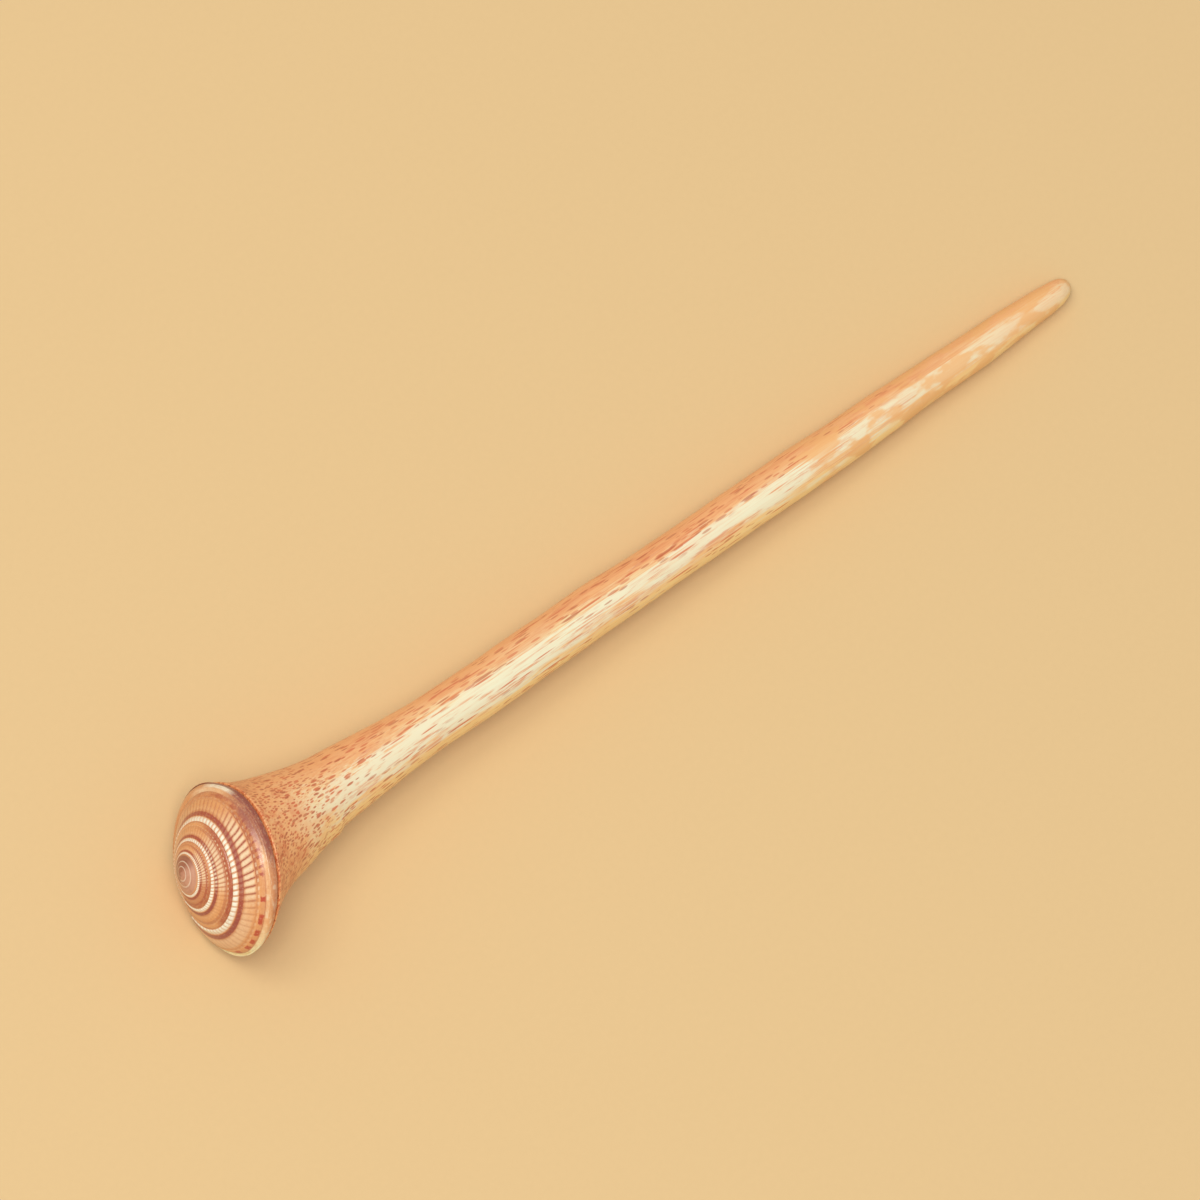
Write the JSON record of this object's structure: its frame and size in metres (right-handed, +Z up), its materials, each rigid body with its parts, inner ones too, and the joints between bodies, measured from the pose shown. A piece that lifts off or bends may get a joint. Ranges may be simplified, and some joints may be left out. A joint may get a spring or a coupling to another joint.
{
  "type": "shell hair stick",
  "caption": "Tapered palm-wood hair stick with a flared end that carries a sundial shell; it is pushed through a bun to hold the hair.",
  "frame": {"origin": "on the floor, under the middle of the object's bounds", "axes": "+X along the stick towards its tip, +Z up, as it lies at rest on the shell's rim and the tip"},
  "size_m": [0.188, 0.026, 0.0248],
  "materials": {
    "palm_wood": "satin varnish over dark fibre flecks",
    "sundial_shell": "natural gloss, banded in tan, brown and cream"
  },
  "bodies": {
    "root": {"stick": "palm_wood", "shell": "sundial_shell"}
  },
  "joints": []
}
